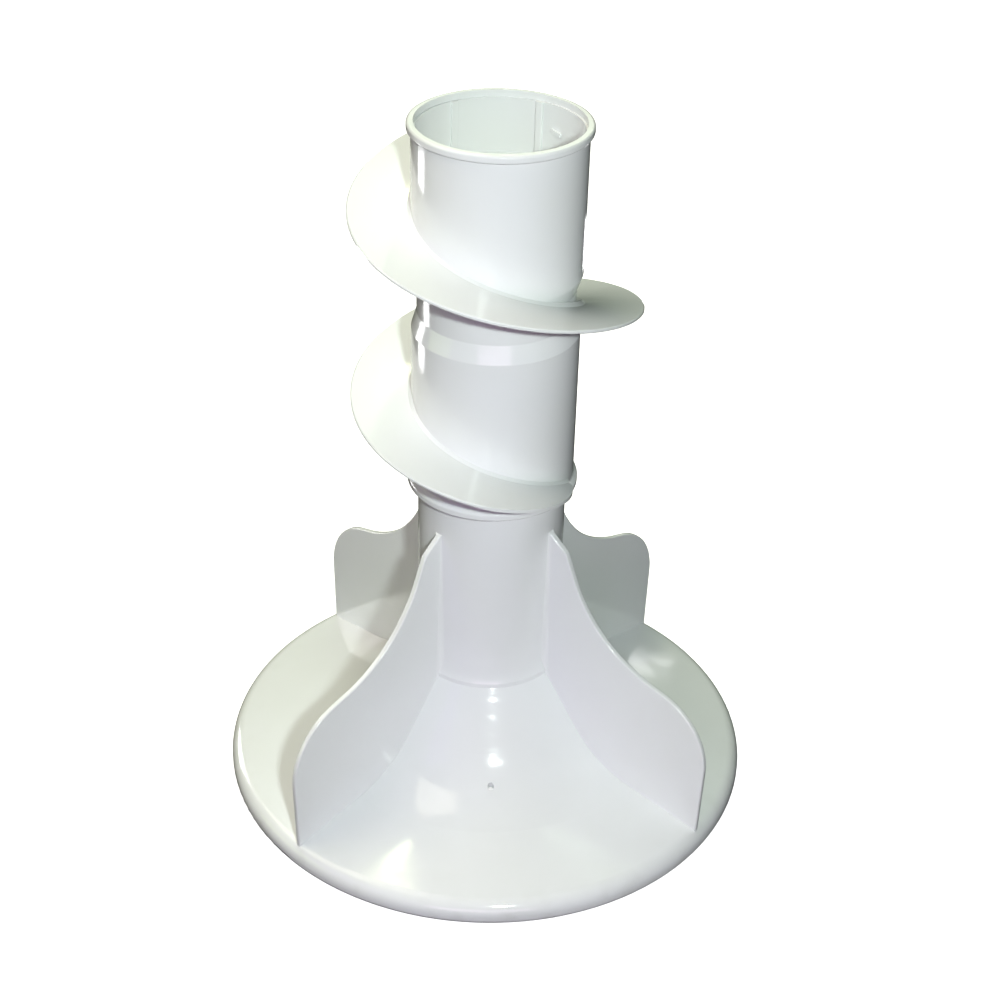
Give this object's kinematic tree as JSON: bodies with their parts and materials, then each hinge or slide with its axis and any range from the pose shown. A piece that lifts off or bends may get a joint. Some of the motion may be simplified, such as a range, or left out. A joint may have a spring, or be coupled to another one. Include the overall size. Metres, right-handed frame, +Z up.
{
  "type": "washing machine agitator",
  "caption": "White moulded agitator for a top-loading washer: finned bell base on a drive hub, and an open-topped tube with a helical flight that turns on it through a ratchet clutch.",
  "frame": {"origin": "centre of the rim that the bell stands on, on the drive shaft's axis", "axes": "+Z up along the drive shaft, -Y towards the side seen in the picture, +X to the right of the picture"},
  "size_m": [0.34, 0.3398, 0.4435],
  "materials": {
    "base_plastic": "glossy moulded polypropylene, white",
    "auger_plastic": "glossy moulded polypropylene, white",
    "bearing_plastic": "natural acetal",
    "cam_plastic": "pale grey acetal",
    "dog_plastic": "black nylon",
    "cap_plastic": "moulded polypropylene, white",
    "seal_rubber": "black rubber",
    "bolt_steel": "stainless steel"
  },
  "bodies": {
    "base": {"agitator_base": "base_plastic", "drive_cam": "cam_plastic", "cam_cover": "cam_plastic", "cam_retainer": "dog_plastic", "thrust_washer": "bearing_plastic", "mounting_bolt": "bolt_steel", "bolt_washer": "bolt_steel", "bolt_seal": "seal_rubber"},
    "auger": {"auger": "auger_plastic", "auger_bearing": "bearing_plastic", "inner_cap": "cap_plastic", "cap_o_ring": "seal_rubber"},
    "dog_1": {"dog_1": "dog_plastic"},
    "dog_2": {"dog_2": "dog_plastic"},
    "dog_3": {"dog_3": "dog_plastic"},
    "dog_4": {"dog_4": "dog_plastic"}
  },
  "joints": [
    {"name": "auger_spin", "type": "hinge", "parent": "base", "child": "auger", "pos_m": [0, 0, 0.2], "axis": [0, 0, 1], "continuous": true},
    {"name": "dog_1_swing", "type": "hinge", "parent": "base", "child": "dog_1", "pos_m": [0.032, 0, 0.283], "axis": [0, 0, 1], "range_deg": [0, 28]},
    {"name": "dog_2_swing", "type": "hinge", "parent": "base", "child": "dog_2", "pos_m": [0, 0.032, 0.283], "axis": [0, 0, 1], "range_deg": [0, 28]},
    {"name": "dog_3_swing", "type": "hinge", "parent": "base", "child": "dog_3", "pos_m": [-0.032, 0, 0.283], "axis": [0, 0, 1], "range_deg": [0, 28]},
    {"name": "dog_4_swing", "type": "hinge", "parent": "base", "child": "dog_4", "pos_m": [0, -0.032, 0.283], "axis": [0, 0, 1], "range_deg": [0, 28]}
  ]
}
